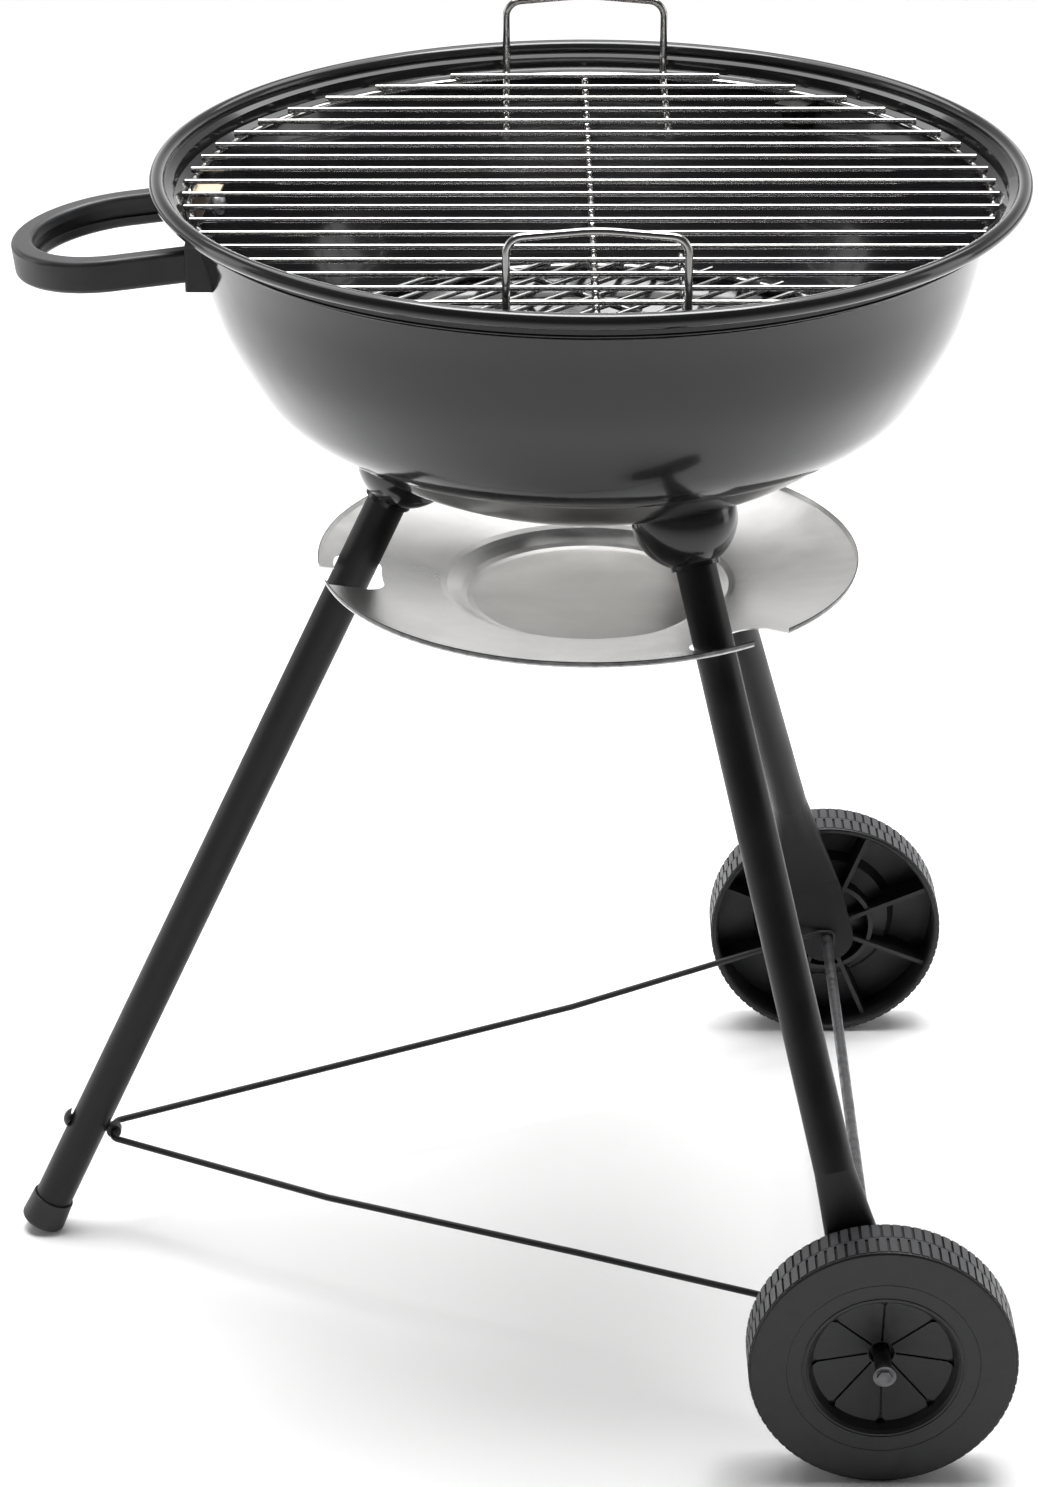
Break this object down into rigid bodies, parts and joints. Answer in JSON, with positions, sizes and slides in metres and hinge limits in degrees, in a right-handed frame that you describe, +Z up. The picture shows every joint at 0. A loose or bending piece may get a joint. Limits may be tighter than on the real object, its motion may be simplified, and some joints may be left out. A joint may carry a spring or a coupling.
{
  "type": "kettle charcoal grill",
  "caption": "Round kettle charcoal grill with a rolled-rim bowl on splayed tube legs, wheels, wire grates, a side handle and a turn-off ash tray.",
  "frame": {"origin": "on the ground, under the middle of the whole grill's bounding box", "axes": "+Z up; +X from the handle and the foot leg towards the wheels; +Y along the axle, to the rear wheel"},
  "size_m": [0.5668, 0.5546, 0.6924],
  "materials": {
    "bowl_enamel": "glossy dark enamel",
    "socket_enamel": "glossy black enamel",
    "leg_paint": "satin black paint",
    "plug_plastic": "matt black",
    "zinc_fasteners": "bright zinc plate",
    "black_fasteners": "satin black",
    "foot_plastic": "matt black",
    "brace_paint": "satin black paint",
    "axle_steel": "drawn steel",
    "wheel_plastic": "satin black moulding",
    "tray_zinc": "galvanised, soft sheen",
    "handle_plastic": "satin black moulding",
    "tab_zinc": "yellowish zinc plate",
    "grate_chrome": "bright chrome",
    "coal_grate_steel": "bright steel wire"
  },
  "bodies": {
    "frame": {"bowl": "bowl_enamel", "leg_socket_foot": "socket_enamel", "leg_socket_front": "socket_enamel", "leg_socket_rear": "socket_enamel", "leg_tube_foot": "leg_paint", "leg_tube_front": "leg_paint", "leg_tube_rear": "leg_paint", "leg_plugs": "plug_plastic", "socket_bolts": "zinc_fasteners", "socket_washers": "zinc_fasteners", "foot_cap": "foot_plastic", "brace_bolt": "black_fasteners", "brace_nut": "black_fasteners", "leg_brace": "brace_paint", "axle": "axle_steel", "axle_spacers": "zinc_fasteners", "axle_nuts": "axle_steel", "handle": "handle_plastic", "handle_bolts": "zinc_fasteners", "handle_washers": "zinc_fasteners", "grate_tab_1": "tab_zinc", "grate_tab_2": "tab_zinc", "grate_tab_3": "tab_zinc"},
    "wheel_front": {"wheel_front": "wheel_plastic"},
    "wheel_rear": {"wheel_rear": "wheel_plastic"},
    "cooking_grate": {"cooking_bars": "grate_chrome", "cooking_ring": "grate_chrome", "cooking_spine": "grate_chrome", "lift_handle_front": "grate_chrome", "lift_handle_rear": "grate_chrome"},
    "charcoal_grate": {"charcoal_bars": "coal_grate_steel", "charcoal_ring": "coal_grate_steel", "charcoal_cross_wires": "coal_grate_steel"},
    "ash_tray": {"ash_tray": "tray_zinc"}
  },
  "joints": [
    {"name": "front_wheel_spin", "type": "hinge", "parent": "frame", "child": "wheel_front", "pos_m": [0.20476, -0.2527, 0.0725], "axis": [0, 1, 0], "continuous": true},
    {"name": "rear_wheel_spin", "type": "hinge", "parent": "frame", "child": "wheel_rear", "pos_m": [0.20476, 0.2527, 0.0725], "axis": [0, 1, 0], "continuous": true},
    {"name": "cooking_grate_lift", "type": "slide", "parent": "frame", "child": "cooking_grate", "axis": [0, 0, 1], "range_m": [0, 0.2]},
    {"name": "charcoal_grate_lift", "type": "slide", "parent": "frame", "child": "charcoal_grate", "axis": [0, 0, 1], "range_m": [0, 0.08]},
    {"name": "ash_tray_turn", "type": "hinge", "parent": "frame", "child": "ash_tray", "pos_m": [0.04846, 0, 0.4298], "axis": [0, 0, 1], "range_deg": [-10, 0]}
  ]
}
